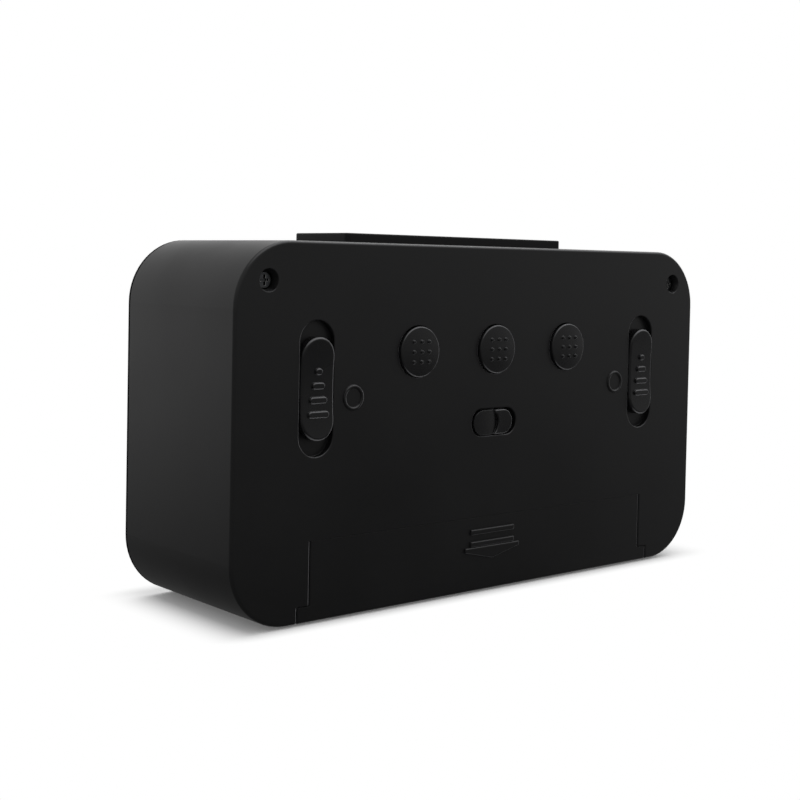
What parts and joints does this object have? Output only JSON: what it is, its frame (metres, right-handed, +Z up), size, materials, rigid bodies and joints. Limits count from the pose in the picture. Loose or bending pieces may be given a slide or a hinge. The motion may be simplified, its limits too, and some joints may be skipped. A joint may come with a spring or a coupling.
{
  "type": "quartz alarm clock",
  "caption": "Table-top digital quartz alarm clock: rounded black case, rear push buttons, thumb sliders and selector, snooze bar on top and a sliding battery door.",
  "frame": {"origin": "on the table under the middle of the clock: the feet stand on Z = 0, and the overall box is centred on X and Y", "axes": "+Z up, -Y out of the display side, +Y out of the rear face with the controls, +X to the right as seen from the front"},
  "size_m": [0.13, 0.0394, 0.0741],
  "materials": {
    "case_abs": "fine satin texture",
    "key_abs": "satin",
    "lens_acrylic": "polished, dark tint",
    "lcd_glass": "polished",
    "holder_plastic": "satin",
    "guide_acrylic": "polished",
    "led_resin": "gloss",
    "zebra_silicone": "matt",
    "board_laminate": "solder mask",
    "chip_epoxy": "matt",
    "bright_steel": "bright",
    "sleeve_pvc": "gloss",
    "socket_nylon": "satin",
    "ribbon_film": "satin",
    "switch_plastic": "satin",
    "plunger_plastic": "satin",
    "pin_brass": "bright",
    "cell_sleeve": "gloss",
    "nickel_steel": "bright",
    "red_wire": "satin",
    "black_wire": "satin",
    "screw_steel": "zinc plated",
    "foot_rubber": "matt"
  },
  "bodies": {
    "clock": {"rear_case": "case_abs", "front_bezel": "case_abs", "front_lens": "lens_acrylic", "lcd_panel": "lcd_glass", "lcd_holder": "holder_plastic", "light_guide": "guide_acrylic", "backlight_leds": "led_resin", "zebra_strip": "zebra_silicone", "main_board": "board_laminate", "key_board": "board_laminate", "snooze_board": "board_laminate", "clock_chip": "chip_epoxy", "buzzer": "chip_epoxy", "quartz_crystal": "bright_steel", "main_board_screws": "bright_steel", "key_board_screws": "bright_steel", "snooze_board_screws": "bright_steel", "smoothing_capacitor": "sleeve_pvc", "ribbon_sockets": "socket_nylon", "ribbon_cable": "ribbon_film", "tact_switches": "switch_plastic", "snooze_switches": "switch_plastic", "slide_switches": "switch_plastic", "selector_switch": "switch_plastic", "link_pins": "pin_brass", "battery_cell_left": "cell_sleeve", "battery_cell_right": "cell_sleeve", "battery_plates": "nickel_steel", "battery_spring": "nickel_steel", "battery_lead_red": "red_wire", "battery_lead_black": "black_wire", "case_screws": "screw_steel", "rubber_feet": "foot_rubber"},
    "button_left": {"set_button_left": "key_abs", "tact_plunger_left": "plunger_plastic"},
    "button_middle": {"set_button_middle": "key_abs", "tact_plunger_middle": "plunger_plastic"},
    "button_right": {"set_button_right": "key_abs", "tact_plunger_right": "plunger_plastic"},
    "slider_left": {"alarm_slider_left": "key_abs", "slide_lever_left": "plunger_plastic"},
    "slider_right": {"alarm_slider_right": "key_abs", "slide_lever_right": "plunger_plastic"},
    "selector": {"selector_slider": "key_abs", "selector_lever": "plunger_plastic"},
    "snooze": {"snooze_bar": "key_abs", "snooze_plungers": "plunger_plastic"},
    "door": {"battery_door": "case_abs"}
  },
  "joints": [
    {"name": "press_button_left", "type": "slide", "parent": "clock", "child": "button_left", "axis": [0, -1, 0], "range_m": [0, 0.0007], "stiffness_N_per_m": 2600, "springref_m": -0.0002},
    {"name": "press_button_middle", "type": "slide", "parent": "clock", "child": "button_middle", "axis": [0, -1, 0], "range_m": [0, 0.0007], "stiffness_N_per_m": 2600, "springref_m": -0.0002},
    {"name": "press_button_right", "type": "slide", "parent": "clock", "child": "button_right", "axis": [0, -1, 0], "range_m": [0, 0.0007], "stiffness_N_per_m": 2600, "springref_m": -0.0002},
    {"name": "slide_alarm_left", "type": "slide", "parent": "clock", "child": "slider_left", "axis": [0, 0, 1], "range_m": [-0.0027, 0.0027]},
    {"name": "slide_alarm_right", "type": "slide", "parent": "clock", "child": "slider_right", "axis": [0, 0, 1], "range_m": [-0.0027, 0.0027]},
    {"name": "slide_selector", "type": "slide", "parent": "clock", "child": "selector", "axis": [-1, 0, 0], "range_m": [0, 0.0013]},
    {"name": "press_snooze", "type": "slide", "parent": "clock", "child": "snooze", "axis": [0, 0, -1], "range_m": [0, 0.0007], "stiffness_N_per_m": 2600, "springref_m": -0.0002},
    {"name": "slide_battery_door", "type": "slide", "parent": "clock", "child": "door", "axis": [0, 0, -1], "range_m": [0, 0.018]}
  ]
}
